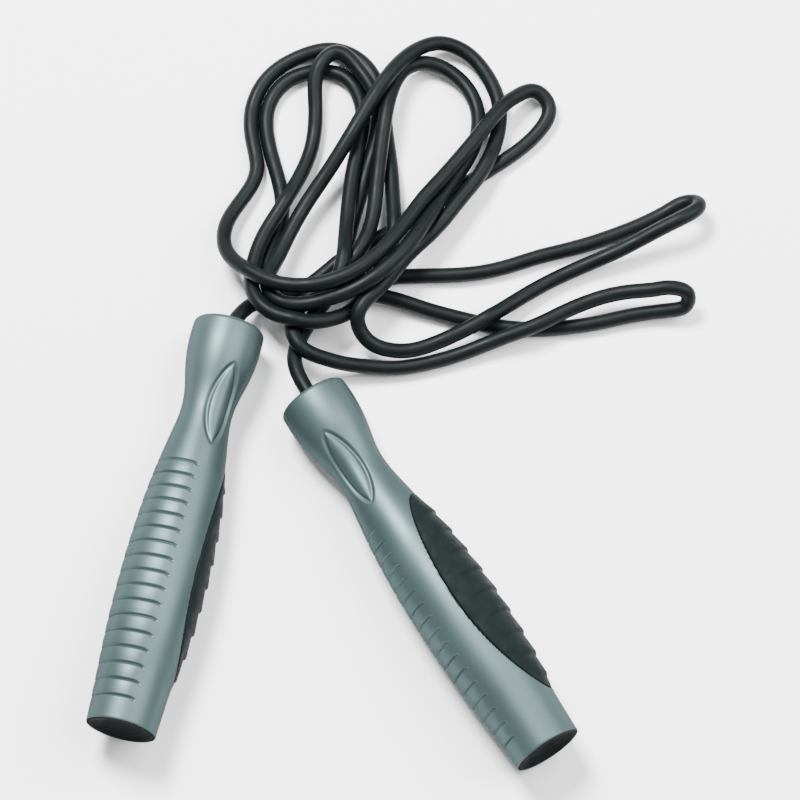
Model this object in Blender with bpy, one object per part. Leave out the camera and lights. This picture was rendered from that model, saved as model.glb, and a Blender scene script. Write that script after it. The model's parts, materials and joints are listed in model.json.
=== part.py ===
"""Skipping rope with two free-spinning handles, lying in a loose heap on a flat surface.

Units are metres, +Z is up, and the surface it lies on is z = 0.  Each handle is built upright, along its
own local Z from the foot, with the thumb recess on local +X and the grip pad on local +Y, and is then laid
down by an empty that sits on the handle's own axis.
"""
import math

import bmesh
import bpy
import numpy as np
from mathutils import Matrix, Vector

MM = 0.001

# ---- driving dimensions -------------------------------------------------------------------------------
ROPE_DIAMETER = 6.0 * MM
CLEARANCE = 0.3 * MM            # gap between pieces that touch
SEAT_MARGIN = 0.4 * MM          # gap between a grip pad and the seat it lies in

HANDLE_LENGTH = 168.5 * MM
BARREL_AT = 57.0 * MM           # the barrel's widest section, from the foot
HEAD_AT = 161.5 * MM            # the head's widest section, from the foot
HEAD_RADIUS = 14.2 * MM
NOSE_START = 165.7 * MM         # the head's rounded rim starts here
NOSE_RADIUS = 14.0 * MM         # the head's radius there
NOSE_ROUND = 2.2 * MM
# distance from the foot and radius, in mm, of the moulded outline up to the nose
OUTLINE = [(0, 13.6), (14, 14.2), (34, 15.4), (57, 16.0), (80, 15.5), (102, 13.8), (118, 11.6), (131, 10.1),
           (138, 10.7), (148, 12.9), (155, 13.9), (161.5, 14.18), (165.7, 14.0)]

GROOVE_COUNT = 17
GROOVE_FIRST = 9.2 * MM
GROOVE_PITCH = 6.5 * MM         # at the foot: the grooves draw closer together toward the head
GROOVE_PITCH_LOSS = 0.0275 * MM
GROOVE_HALF_WIDTH = 0.9 * MM
GROOVE_DEPTH = 0.5 * MM
GROOVE_CENTRE = -90.0           # degrees about the handle's axis
GROOVE_HALF_SPAN = 74.0

PAD_START = 18.5 * MM
PAD_END = 111.5 * MM
PAD_HALF_ANGLE = 66.0
PAD_CENTRE = 90.0
PAD_THICKNESS = 1.9 * MM        # below the shell's surface
PAD_BULGE = 1.2 * MM            # above it, in the middle
PAD_RIDGE_FIRST = 23.5 * MM     # foot side of the first ridge
PAD_RIDGE_PITCH = 9.7 * MM
PAD_RIDGE_HEIGHT = 0.5 * MM

RECESS_CENTRE = 133.0 * MM
RECESS_HALF_LENGTH = 18.0 * MM
RECESS_HALF_WIDTH = 6.3 * MM
RECESS_CHANNEL = 1.6 * MM       # half the width of its channel
RECESS_DEPTH = 0.8 * MM

BEARING_OUTER = 7.0 * MM        # 8 x 14 x 4 mm ball bearing
BEARING_INNER = 4.0 * MM
BEARING_WIDTH = 4.0 * MM
BEARING_START = 155.7 * MM
BALL_COUNT = 7
BALL_RADIUS = 0.7 * MM
BALL_CIRCLE = 5.5 * MM
SLEEVE_BORE = ROPE_DIAMETER / 2 + 0.35 * MM

# Foot centre (x, y), heading from +Y toward +X in degrees, roll of the thumb recess to the right of the top
# in degrees, and height of the axis over the surface at the widest section: the left handle lies on its pad.
HANDLES = {
    "left": ((-79.4 * MM, -77.7 * MM), 13.55, 31.0, 17.05 * MM),
    "right": ((81.7 * MM, -85.2 * MM), -32.4, -25.0, 16.09 * MM),
}

# The model's origin, on the surface under the middle of the two handles, as the places above and the route
# below give it.
ORIGIN = (0.17 * MM, -2.18 * MM)

# The rope's route over the surface from the left handle to the right one: x and y in mm, and how many rope
# thicknesses the strand lies above the surface there.
ROUTE = [
    # out of the left handle, under the knot and away to the right
    (-37, 90.5, 1.8), (-32.5, 96, 1.3), (-25, 100.5, 0.6), (-14, 103, 0.1), (-2, 105, 0), (10, 108, 0),
    (24, 110.5, 0), (38, 111, 0), (52, 111.5, 0), (66, 114, 0), (80, 118.5, 0), (95, 122.5, 0),
    (110, 127.5, 0), (120, 131.5, 0.1),
    # far hairpin and back over itself to the knot's near side
    (131, 137, 0), (137, 140, 0), (142, 139.5, 0.7), (142.5, 135.5, 2), (137.5, 131.5, 2.6),
    (126, 126, 1.5), (112, 119.5, 0.8), (98, 114, 0.2), (85, 108, 0), (73, 100.5, 0.2), (62, 92.5, 0.8),
    (51, 86, 1), (40, 81, 0.8), (30, 78, 0.5), (21, 78, 0.6), (14, 80.5, 0.9), (9.5, 87, 1.6),
    (12.5, 95, 2.8),
    # up the right bundle, round the tallest loop and down across everything to the left
    (19, 102, 2.9), (28, 114.5, 2.4), (38, 126, 1.9), (47.5, 138.5, 1.2), (56.5, 150.5, 1.1),
    (62, 161.5, 0.6), (65, 173, 0.3), (64.5, 185, 0.2), (60, 195.5, 0.2), (52, 204.5, 0.2),
    (42, 207.5, 0.5), (33, 203.5, 1.2), (24, 194, 2.2), (15.5, 180.5, 2.6), (6, 164, 2.3), (-3, 150, 1.4),
    (-11, 138, 0.9), (-18, 124.5, 0.9), (-22.5, 114, 1.2),
    # through the knot, round the inner loop on the right and back
    (-26, 103, 1.8), (-22, 95.5, 2.2), (-12, 93, 2.7), (0, 95.5, 2.9), (12, 101, 3.1), (23, 110, 3),
    (32.5, 122.5, 2.4), (41, 137.5, 1.7), (47.5, 148.5, 1.2), (53.5, 159.5, 0.8), (57, 173, 0.5),
    (54.5, 186, 0.2), (46, 196, 0.2), (36, 199.5, 0.4), (28, 196, 1), (23, 186.5, 1.6),
    (20, 172, 1.8), (18, 157, 1.5), (16.5, 142.5, 1.1), (14.5, 128.5, 1.3), (8.5, 115, 1.6),
    # down out of the knot and along the near side to the second hairpin, and back
    (-2.5, 104, 1.4), (-12, 95.5, 1.6), (-16, 86, 2), (-12.5, 77, 2.2), (-4, 73.5, 1.5), (4, 72.3, 0.8),
    (14, 72, 0.2), (24, 72, 0), (36, 74, 0), (50, 78, 0), (64, 83, 0.3), (78, 87.5, 1), (90, 93.5, 0.9),
    (102, 98.5, 0.9), (114, 101, 1.2), (125, 101.5, 1.7), (130, 102, 2.3), (135.5, 101.5, 2.5),
    (138.5, 99, 1.2), (136, 96, 0), (131, 95.5, 0), (117, 94, 0), (103, 91, 0), (89, 89, 0),
    (74, 88.5, 0), (60, 90.5, 0), (47, 93.5, 0), (34, 97, 0.2), (22, 100.5, 0.6),
    # up the middle, over the small upright loop and down the left
    (10, 104, 0.5), (4, 111.5, 0.1), (4.5, 123, 0), (9, 140, 0.3), (14, 158, 0.5), (17.5, 173, 0.9),
    (15.5, 186, 0.8), (9.5, 196, 0.8), (1, 203, 1.2), (-6, 197, 1.2), (-7.5, 181, 0.3), (-9, 164, 0),
    (-14, 150, 0.5), (-21, 136.5, 0.8), (-27.5, 124.5, 1), (-31, 113, 1.3),
    # round the knot's near side, up the middle and round the outermost loop on the left
    (-31.5, 102, 2.1), (-27.5, 93.5, 2.6), (-19, 88, 2.8), (-8, 86.5, 2.5), (3, 90, 2), (12, 98, 1.6),
    (18.5, 110, 1.4), (23, 122, 1.2), (23.5, 137, 0.8), (22.5, 154, 0.3), (20.5, 171, 0.4),
    (18.5, 186, 0.4), (12, 200, 0.1), (0, 206.5, 0), (-14, 203.5, 0), (-26, 195, 0), (-32.5, 181, 0),
    (-32, 167, 0), (-30.5, 154, 0), (-36, 142, 0.2), (-42, 130.5, 0.6),
    # over the top of the knot, out to the slanting loop at the upper right, and back beneath
    (-42, 118.5, 1.3), (-34, 108, 2.5), (-22, 100.5, 3.4), (-10, 98.5, 3.8), (1, 100.5, 3.9),
    (11, 105.5, 3.8), (21, 115, 3.4), (29, 126, 2.8), (36, 136.5, 2.2), (43.5, 146.5, 2), (50.5, 156, 2),
    (58, 166.5, 1.9), (65.5, 177.5, 1.6), (73, 185, 0.8), (80, 187.5, 0.2), (85, 181.5, 0), (81, 171.5, 0),
    (71, 162, 0), (58, 153, 0), (43, 143, 0), (29, 132.5, 0), (17, 124.5, 0.5), (7, 117, 1),
    (-3, 109, 0.6), (-12, 102.5, 0.8), (-19, 101, 1),
    # round the inner loop on the left, down through the knot and into the right handle
    (-25, 105, 0.9), (-26, 115, 0.4), (-22.5, 127, 0), (-20.5, 140, 0), (-23, 154, 0), (-26.5, 168, 0),
    (-26.5, 181, 0), (-20, 192, 0), (-8, 197, 0), (4, 194.5, 0), (10.5, 183, 0.1), (10.5, 168.5, 0.8),
    (7.5, 152, 1.1), (5.5, 134, 1.3), (4.5, 119, 1.8), (3, 107.5, 2.4), (-1.5, 98, 2.3), (-9, 88.5, 1.5),
    (-14.5, 78, 1.2), (-13.8, 67.5, 1.8),
]
ROUTE_STEP = 2.5                # mm between the samples of the settled line
LINE_TOLERANCE = 1.2            # mm between the settled line and the tube's straight runs
LONGEST_RUN = 30.0              # mm
ROPE_INSIDE = 20.0              # mm of straight rope inside each handle


# ---- small helpers ------------------------------------------------------------------------------------
def clear_scene():
    for item in list(bpy.data.objects):
        bpy.data.objects.remove(item, do_unlink=True)


def material(name, colour, roughness, metallic):
    made = bpy.data.materials.new(name)
    made.use_nodes = True
    shader = made.node_tree.nodes["Principled BSDF"]
    shader.inputs["Base Color"].default_value = (*colour, 1.0)
    shader.inputs["Roughness"].default_value = roughness
    shader.inputs["Metallic"].default_value = metallic
    return made


def add_object(name, mesh, parent, slot):
    item = bpy.data.objects.new(name, mesh)
    bpy.context.collection.objects.link(item)
    item.parent = parent
    if not mesh.materials:
        mesh.materials.append(slot)
    return item


def finish_mesh(name, shape, sharp_degrees=35.0):
    bmesh.ops.recalc_face_normals(shape, faces=shape.faces)
    mesh = bpy.data.meshes.new(name)
    shape.to_mesh(mesh)
    shape.free()
    mesh.shade_smooth()
    mesh.set_sharp_from_angle(angle=math.radians(sharp_degrees))
    return mesh


def turned(name, profile, segments):
    """Solid of revolution about Z from a closed outline of (radius, height) corners."""
    shape = bmesh.new()
    rings = []
    for radius, height in profile:
        if radius == 0.0:
            rings.append([shape.verts.new((0.0, 0.0, height))])
            continue
        turn = [2 * math.pi * k / segments for k in range(segments)]
        rings.append([shape.verts.new((radius * math.cos(a), radius * math.sin(a), height)) for a in turn])
    for first, second in zip(rings, rings[1:] + rings[:1]):
        bridge(shape, first, second)
    return finish_mesh(name, shape)


def bridge(shape, first, second):
    """Faces between two rings of the same count, or between a ring and a single point."""
    count = max(len(first), len(second))
    if count == 1:
        return
    for k in range(count):
        n = (k + 1) % count
        if len(first) == 1:
            shape.faces.new((first[0], second[n], second[k]))
        elif len(second) == 1:
            shape.faces.new((first[k], first[n], second[0]))
        else:
            shape.faces.new((first[k], first[n], second[n], second[k]))


def cut(item, cutter):
    cutter.hide_render = True
    cutter.display_type = "WIRE"
    boolean = item.modifiers.new("cut", "BOOLEAN")
    boolean.operation = "DIFFERENCE"
    boolean.solver = "EXACT"
    boolean.object = cutter


def cubic(knots, values):
    """Second derivatives of the natural cubic spline through values at the knots."""
    count = len(knots)
    gaps = np.diff(knots)
    left = np.eye(count)
    right = np.zeros_like(values)
    for i in range(1, count - 1):
        left[i, i - 1:i + 2] = gaps[i - 1], 2 * (gaps[i - 1] + gaps[i]), gaps[i]
        right[i] = 6 * ((values[i + 1] - values[i]) / gaps[i] - (values[i] - values[i - 1]) / gaps[i - 1])
    return np.linalg.solve(left, right)


def read_cubic(knots, values, bends, at):
    """Value of the spline at one parameter."""
    i = int(np.clip(np.searchsorted(knots, at) - 1, 0, len(knots) - 2))
    gap = knots[i + 1] - knots[i]
    u = at - knots[i]
    slope = (values[i + 1] - values[i]) / gap - gap * (2 * bends[i] + bends[i + 1]) / 6
    return values[i] + slope * u + bends[i] / 2 * u * u + (bends[i + 1] - bends[i]) / (6 * gap) * u ** 3


# ---- the handle's outer surface -----------------------------------------------------------------------
OUTLINE_AT = np.array([t for t, r in OUTLINE]) * MM
OUTLINE_RADIUS = np.array([r for t, r in OUTLINE]) * MM
OUTLINE_BENDS = cubic(OUTLINE_AT, OUTLINE_RADIUS)


def outline_radius(along):
    """Radius of the plain moulded outline at a distance from the foot."""
    if along <= NOSE_START:
        return float(read_cubic(OUTLINE_AT, OUTLINE_RADIUS, OUTLINE_BENDS, along))
    drop = min((along - NOSE_START) / NOSE_ROUND, 1.0)
    return NOSE_RADIUS - NOSE_ROUND + NOSE_ROUND * math.sqrt(max(1.0 - drop * drop, 0.0))


def turn_from(angle, centre):
    """Signed difference of two angles in degrees, between -180 and 180."""
    return (angle - centre + 180.0) % 360.0 - 180.0


def leaf_width(along, start, end, foot_fullness, head_fullness):
    """0 at a leaf's two tips and 1 at its middle."""
    place = (2.0 * along - start - end) / (end - start)
    fullness = foot_fullness if place < 0.0 else head_fullness
    return max(1.0 - place * place, 0.0) ** fullness


def groove_place(number):
    return GROOVE_FIRST + number * GROOVE_PITCH - number * number * GROOVE_PITCH_LOSS


def groove_cut(along, angle):
    if abs(turn_from(angle, GROOVE_CENTRE)) > GROOVE_HALF_SPAN:
        return 0.0
    away = min(abs(along - groove_place(number)) for number in range(GROOVE_COUNT))
    return GROOVE_DEPTH * max(1.0 - away / GROOVE_HALF_WIDTH, 0.0)


def recess_cut(along, angle):
    """A channel along a leaf's outline: the leaf inside it stays raised."""
    half = RECESS_HALF_WIDTH * leaf_width(along, RECESS_CENTRE - RECESS_HALF_LENGTH,
                                          RECESS_CENTRE + RECESS_HALF_LENGTH, 0.65, 0.65)
    across = abs(math.radians(turn_from(angle, 0.0))) * outline_radius(along)
    from_channel = abs(half - across - RECESS_CHANNEL) / RECESS_CHANNEL
    if half <= 0.0 or from_channel >= 1.0:
        return 0.0
    return RECESS_DEPTH * math.cos(0.5 * math.pi * from_channel) ** 2


def shell_radius(along, angle):
    return outline_radius(along) - groove_cut(along, angle) - recess_cut(along, angle)


def pad_half_angle(along):
    return PAD_HALF_ANGLE * leaf_width(along, PAD_START, PAD_END, 0.55, 0.36)


def pad_ridge(along):
    """Ridges that step up on their foot side and slope down toward the head."""
    if along < PAD_RIDGE_FIRST:
        return 0.0
    phase = ((along - PAD_RIDGE_FIRST) / PAD_RIDGE_PITCH) % 1.0
    return PAD_RIDGE_HEIGHT * (phase / 0.2 if phase < 0.2 else (1.0 - phase) / 0.8)


def polar(radius, angle, along):
    return (radius * math.cos(math.radians(angle)), radius * math.sin(math.radians(angle)), along)


# ---- pieces of one handle -----------------------------------------------------------------------------
def shell_columns():
    """Angles of the shell's columns: close together on the thumb recess, wider elsewhere."""
    near = [7.0, 14.0, 20.0, 25.5, 31.0, 36.5]
    wide = [52.0 + 18.0 * k for k in range(6)]
    groove_ends = [GROOVE_CENTRE - GROOVE_HALF_SPAN + 1.0, GROOVE_CENTRE + GROOVE_HALF_SPAN - 1.0]
    angles = [0.0] + near + [-a for a in near] + wide + [-a for a in wide]
    return sorted(angles + groove_ends + [160.0, 180.0])


def shell_rings():
    """(distance, radius or None) of each ring: None follows the moulded surface."""
    rings = [0.4 * MM, 4.0 * MM]
    for number in range(GROOVE_COUNT):
        middle = groove_place(number)
        rings += [middle - GROOVE_HALF_WIDTH, middle, middle + GROOVE_HALF_WIDTH]
    rings += [(110.5 + 2.6 * k) * MM for k in range(17)]
    rings += [156.5 * MM, HEAD_AT, NOSE_START]
    rings += [NOSE_START + NOSE_ROUND * math.sin(math.radians(a)) for a in (22, 42, 60, 75, 86)]
    outer = [(t, None) for t in rings]
    mouth = HANDLE_LENGTH
    bore = BEARING_OUTER + CLEARANCE
    inner = [(mouth, 6.4), (mouth - 0.9 * MM, 5.4), (mouth - 2.4 * MM, 4.7), (mouth - 4.6 * MM, 4.4),
             (BEARING_START + BEARING_WIDTH + CLEARANCE, 4.4), (BEARING_START + BEARING_WIDTH + CLEARANCE, None)]
    inner = [(t, bore if r is None else r * MM) for t, r in inner]
    inner += [(122.0 * MM, bore), (104.0 * MM, 9.6 * MM), (82.0 * MM, 11.9 * MM), (57.0 * MM, 12.5 * MM),
              (30.0 * MM, 11.9 * MM), (9.0 * MM, 11.4 * MM), (2.0 * MM, 11.4 * MM), (2.0 * MM, 12.6 * MM),
              (0.0, 12.6 * MM), (0.0, 13.3 * MM)]
    return outer + inner


def shell_mesh():
    shape = bmesh.new()
    columns = shell_columns()
    rings = []
    for along, radius in shell_rings():
        ring = []
        for angle in columns:
            here = shell_radius(along, angle) if radius is None else radius
            ring.append(shape.verts.new(polar(here, angle, along)))
        rings.append(ring)
    for first, second in zip(rings, rings[1:] + rings[:1]):
        bridge(shape, first, second)
    return finish_mesh("handle_shell", shape)


def pad_patch(name, extra_angle_mm, bottom, top, rows, columns):
    """Closed leaf-shaped patch of the barrel: bottom and top give the radius at a distance and a place."""
    shape = bmesh.new()
    layers = []
    for surface in (bottom, top):
        layer = []
        for i in range(rows + 1):
            share = i / rows
            along = PAD_START - extra_angle_mm + (PAD_END - PAD_START + 2 * extra_angle_mm) * share
            inside = min(max(along, PAD_START + 0.6 * MM), PAD_END - 0.6 * MM)
            half = pad_half_angle(inside) + math.degrees(extra_angle_mm / outline_radius(along))
            row = []
            for j in range(columns + 1):
                place = 2.0 * j / columns - 1.0
                angle = PAD_CENTRE + half * place
                row.append(shape.verts.new(polar(surface(along, place), angle, along)))
            layer.append(row)
        layers.append(layer)
    low, high = layers
    for layer in layers:
        for a, b in zip(layer, layer[1:]):
            for j in range(columns):
                shape.faces.new((a[j], a[j + 1], b[j + 1], b[j]))
    edge_low = low[0] + [r[-1] for r in low[1:-1]] + low[-1][::-1] + [r[0] for r in low[-2:0:-1]]
    edge_high = high[0] + [r[-1] for r in high[1:-1]] + high[-1][::-1] + [r[0] for r in high[-2:0:-1]]
    bridge(shape, edge_low, edge_high)
    return finish_mesh(name, shape)


def pad_top(along, place):
    swell = leaf_width(along, PAD_START, PAD_END, 0.8, 0.8) * (1.0 - abs(place) ** 3)
    return outline_radius(along) + 0.1 * MM + PAD_BULGE * swell + pad_ridge(along) * (1.0 - place ** 6) * 0.9


def pad_bottom(along, place):
    return outline_radius(along) - PAD_THICKNESS


def seat_bottom(along, place):
    return outline_radius(along) - PAD_THICKNESS - SEAT_MARGIN


def seat_top(along, place):
    return outline_radius(along) + 3.0 * MM


def end_cap_mesh():
    rim = 12.3 * MM
    profile = [(0.0, 2.4), (6.5, 2.4), (9.6, 1.5), (10.8, 0.0), (12.3, 0.0), (12.3, 1.7), (11.1, 1.7), (11.1, 8.0),
               (9.9, 8.0), (9.9, 4.0), (0.0, 4.0)]
    mesh = turned("end_cap", [(r * MM, t * MM) for r, t in profile], 28)
    return mesh


def ring_mesh(name, inner, outer, start, end, segments=16):
    return turned(name, [(inner, start), (outer, start), (outer, end), (inner, end)], segments)


def box_mesh(name, size, centre):
    shape = bmesh.new()
    bmesh.ops.create_cube(shape, size=1.0)
    bmesh.ops.scale(shape, vec=size, verts=shape.verts)
    bmesh.ops.translate(shape, vec=centre, verts=shape.verts)
    return finish_mesh(name, shape)


def ball_places():
    return [2 * math.pi * k / BALL_COUNT for k in range(BALL_COUNT)]


def ball_mesh():
    shape = bmesh.new()
    bmesh.ops.create_icosphere(shape, subdivisions=2, radius=BALL_RADIUS)
    return finish_mesh("bearing_ball", shape, 80.0)


def pocket_cutter(parent):
    """All the cage's ball pockets as one set of separate spheres."""
    shape = bmesh.new()
    middle = BEARING_START + BEARING_WIDTH / 2
    for angle in ball_places():
        place = Vector((BALL_CIRCLE * math.cos(angle), BALL_CIRCLE * math.sin(angle), middle))
        bmesh.ops.create_uvsphere(shape, u_segments=6, v_segments=4, radius=BALL_RADIUS + CLEARANCE,
                                  matrix=Matrix.Translation(place))
    cutter = bpy.data.objects.new("ball_pockets", finish_mesh("ball_pockets", shape))
    bpy.context.collection.objects.link(cutter)
    cutter.parent = parent
    return cutter


def handle_frame(side):
    """Foot centre and the directions of the handle's local X, Y and Z."""
    (x, y), heading, roll, rest = HANDLES[side]
    tilt = math.asin((rest - HEAD_RADIUS) / (HEAD_AT - BARREL_AT))
    h = math.radians(heading)
    axis = Vector((math.sin(h) * math.cos(tilt), math.cos(h) * math.cos(tilt), -math.sin(tilt)))
    to_right = axis.cross(Vector((0.0, 0.0, 1.0))).normalized()
    to_top = to_right.cross(axis)
    r = math.radians(roll)
    recess = to_top * math.cos(r) + to_right * math.sin(r)
    height = rest / math.cos(tilt) + BARREL_AT * math.sin(tilt)
    foot = Vector((x - ORIGIN[0], y - ORIGIN[1], height))
    return foot, recess, axis.cross(recess), axis


def make_handle(side, meshes, slots):
    foot, local_x, local_y, axis = handle_frame(side)
    matrix = Matrix((local_x, local_y, axis)).transposed().to_4x4()
    matrix.translation = foot
    stand = bpy.data.objects.new(side + "_axis", None)
    bpy.context.collection.objects.link(stand)
    stand.matrix_world = matrix

    shell = add_object(side + "_handle_shell", meshes["shell"], stand, slots["shell"])
    seat = add_object(side + "_pad_seat", meshes["seat"], stand, slots["shell"])
    cut(shell, seat)
    add_object(side + "_grip_pad", meshes["pad"], stand, slots["pad"])
    cap = add_object(side + "_end_cap", meshes["cap"], stand, slots["cap"])
    notch = add_object(side + "_pry_notch", meshes["notch"], stand, slots["cap"])
    cut(cap, notch)

    for piece, slot in (("retaining_ring", "spring"), ("bearing_outer_ring", "steel"),
                        ("bearing_inner_ring", "steel"), ("swivel_sleeve", "brass"),
                        ("thrust_washer", "washer"), ("rope_stopper", "steel_crimp")):
        add_object(side + "_" + piece, meshes[piece], stand, slots[slot])
    cage = add_object(side + "_ball_cage", meshes["ball_cage"], stand, slots["brass"])
    cut(cage, pocket_cutter(stand))
    for number, angle in enumerate(ball_places(), start=1):
        ball = add_object(f"{side}_bearing_ball_{number}", meshes["ball"], stand, slots["steel"])
        ball.location = (BALL_CIRCLE * math.cos(angle), BALL_CIRCLE * math.sin(angle),
                         BEARING_START + BEARING_WIDTH / 2)
    return foot, axis


def inner_meshes():
    start = BEARING_START
    end = start + BEARING_WIDTH
    ring_wall = 0.5 * MM
    sleeve = [(SLEEVE_BORE, start - 2.0 * MM), (4.6 * MM, start - 2.0 * MM), (4.6 * MM, start - CLEARANCE),
              (3.7 * MM, start - CLEARANCE), (3.7 * MM, end + 0.9 * MM), (SLEEVE_BORE, end + 0.9 * MM)]
    crimp = [(SLEEVE_BORE, 0.0), (4.6 * MM, 0.0), (4.9 * MM, 1.2), (4.9 * MM, 2.6), (4.3 * MM, 3.6),
             (4.3 * MM, 5.4), (4.9 * MM, 6.4), (4.9 * MM, 8.0), (4.6 * MM, 9.2), (SLEEVE_BORE, 9.2)]
    crimp_start = start - 13.0 * MM
    crimp = [(r, crimp_start + t * MM) for r, t in crimp]
    return {
        "retaining_ring": ring_mesh("retaining_ring", 6.1 * MM, 7.0 * MM, start - 1.3 * MM, start - CLEARANCE),
        "bearing_outer_ring": ring_mesh("bearing_outer_ring", BEARING_OUTER - ring_wall, BEARING_OUTER, start, end),
        "bearing_inner_ring": ring_mesh("bearing_inner_ring", BEARING_INNER, BEARING_INNER + ring_wall, start, end),
        "ball_cage": ring_mesh("ball_cage", BALL_CIRCLE - 0.35 * MM, BALL_CIRCLE + 0.35 * MM,
                               start + 0.4 * MM, end - 0.4 * MM, 21),
        "swivel_sleeve": turned("swivel_sleeve", sleeve, 16),
        "thrust_washer": ring_mesh("thrust_washer", SLEEVE_BORE, 6.0 * MM, start - 3.4 * MM, start - 2.3 * MM),
        "rope_stopper": turned("rope_stopper", crimp, 16),
    }


def handle_meshes():
    meshes = inner_meshes()
    meshes["shell"] = shell_mesh()
    meshes["pad"] = pad_patch("grip_pad", 0.0, pad_bottom, pad_top, 36, 8)
    meshes["seat"] = pad_patch("pad_seat", SEAT_MARGIN, seat_bottom, seat_top, 36, 8)
    meshes["cap"] = end_cap_mesh()
    meshes["notch"] = box_mesh("pry_notch", (1.6 * MM, 3.0 * MM, 1.6 * MM), (12.0 * MM, 0.0, 0.2 * MM))
    meshes["ball"] = ball_mesh()
    return meshes


# ---- the rope -----------------------------------------------------------------------------------------
def axis_points(side, distances):
    foot, local_x, local_y, axis = handle_frame(side)
    return [tuple((foot + axis * t * MM) / MM) for t in distances]


def route_points():
    """The whole route in mm, with the straight ends inside the two handles."""
    thickness = ROPE_DIAMETER / MM
    middle_x, middle_y = ORIGIN[0] / MM, ORIGIN[1] / MM
    lying = [(x - middle_x, y - middle_y, (0.5 + level) * thickness) for x, y, level in ROUTE]
    ends = (144.0, 152.0, 160.0, 165.0)
    return np.array(axis_points("left", ends) + lying + axis_points("right", ends[::-1]))


def even_steps(line, step):
    run = np.concatenate([[0.0], np.cumsum(np.linalg.norm(np.diff(line, axis=0), axis=1))])
    marks = np.linspace(0.0, run[-1], int(round(run[-1] / step)) + 1)
    return np.stack([np.interp(marks, run, line[:, k]) for k in range(3)], axis=1)


def smooth_line(points, step):
    knots = np.concatenate([[0.0], np.cumsum(np.linalg.norm(np.diff(points, axis=0), axis=1) ** 0.75)])
    bends = cubic(knots, points)
    fine = []
    for i in range(len(points) - 1):
        count = max(2, int(np.ceil(np.linalg.norm(points[i + 1] - points[i]) / step * 4)))
        for at in np.linspace(knots[i], knots[i + 1], count, endpoint=False):
            fine.append(read_cubic(knots, points, bends, at + 1e-9))
    fine.append(points[-1])
    return even_steps(np.array(fine), step)


def settle(line, step):
    """Rest the strands on the surface and on each other, keeping which one lies on top."""
    thickness = ROPE_DIAMETER / MM
    apart = thickness + 0.1
    held_ends = int(26.0 / step)
    place = line.copy()
    wanted = line[:, 2].copy()
    count = len(line)
    flat = np.linalg.norm(line[:, None, :2] - line[None, :, :2], axis=2)
    a, b = np.nonzero(np.triu(flat < thickness + 2.0, k=int(3 * thickness / step)))
    a_above = wanted[a] >= wanted[b]
    upper = np.where(a_above, a, b)
    lower = np.where(a_above, b, a)
    free = np.ones(count, bool)
    free[:held_ends] = False
    free[-held_ends:] = False
    for sweep in range(400):
        bend = np.zeros(count)
        bend[1:-1] = place[:-2, 2] - 2 * place[1:-1, 2] + place[2:, 2]
        place[:, 2] += np.where(free, 0.4 * bend + 0.02 * (wanted - place[:, 2]), 0.0)
        moved = place[:, :2] - line[:, :2]
        moved[1:-1] += 0.35 * (moved[:-2] - 2 * moved[1:-1] + moved[2:])
        place[:, :2] = np.where(free[:, None], line[:, :2] + moved, place[:, :2])
        for again in range(2):
            beside = np.linalg.norm(place[upper, :2] - place[lower, :2], axis=1)
            rise = place[upper, 2] - place[lower, 2]
            lack = np.where(beside < apart, np.sqrt(np.maximum(apart ** 2 - beside ** 2, 0.0)) - rise, 0.0)
            side_by_side = (beside > 0.8 * thickness) & (np.abs(rise) < 0.55 * thickness)
            share = np.where(side_by_side, 0.0, np.maximum(lack, 0.0) * 0.5)
            lift = np.zeros(count)
            press = np.zeros(count)
            np.maximum.at(lift, upper, share)
            np.maximum.at(press, lower, share)
            place[:, 2] += np.where(free, lift - press, 0.0)
            gap = place[upper] - place[lower]
            distance = np.linalg.norm(gap, axis=1)
            push = np.where(side_by_side, np.maximum(apart - distance, 0.0) * 0.5, 0.0)
            move = gap[:, :2] / np.maximum(beside, 1e-6)[:, None] * push[:, None]
            total = np.zeros((count, 2))
            hits = np.zeros(count)
            np.add.at(total, upper, move)
            np.add.at(total, lower, -move)
            np.add.at(hits, upper, push > 0)
            np.add.at(hits, lower, push > 0)
            place[:, :2] += np.where(free[:, None], total / np.maximum(hits, 1)[:, None], 0.0)
            place[:, 2] = np.where(free, np.maximum(place[:, 2], thickness / 2), place[:, 2])
    return place


def straight_runs(line, inside):
    """The fewest samples whose straight runs stay close to the line: its two ends inside the handles stay."""
    kept = [0, inside]
    last = len(line) - 1 - inside
    while kept[-1] < last:
        start = kept[-1]
        end = start + 1
        while end + 1 <= last:
            run = line[end + 1] - line[start]
            length = np.linalg.norm(run)
            between = line[start + 1:end + 1] - line[start]
            off = np.linalg.norm(between - np.outer(between @ run, run) / length ** 2, axis=1)
            if length > LONGEST_RUN or off.max() > LINE_TOLERANCE:
                break
            end += 1
        kept.append(end)
    return line[kept + [len(line) - 1]]


def make_rope(slot):
    line = settle(smooth_line(route_points(), ROUTE_STEP), ROUTE_STEP)
    line = straight_runs(line, int(ROPE_INSIDE / ROUTE_STEP)) * MM
    curve = bpy.data.curves.new("rope", "CURVE")
    curve.dimensions = "3D"
    curve.twist_mode = "MINIMUM"
    spline = curve.splines.new("POLY")
    spline.points.add(len(line) - 1)
    for point, place in zip(spline.points, line):
        point.co = (*place, 1.0)
    curve.bevel_depth = ROPE_DIAMETER / 2
    curve.bevel_resolution = 2
    curve.use_fill_caps = True
    curve.materials.append(slot)
    rope = bpy.data.objects.new("rope", curve)
    bpy.context.collection.objects.link(rope)
    return rope


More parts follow.
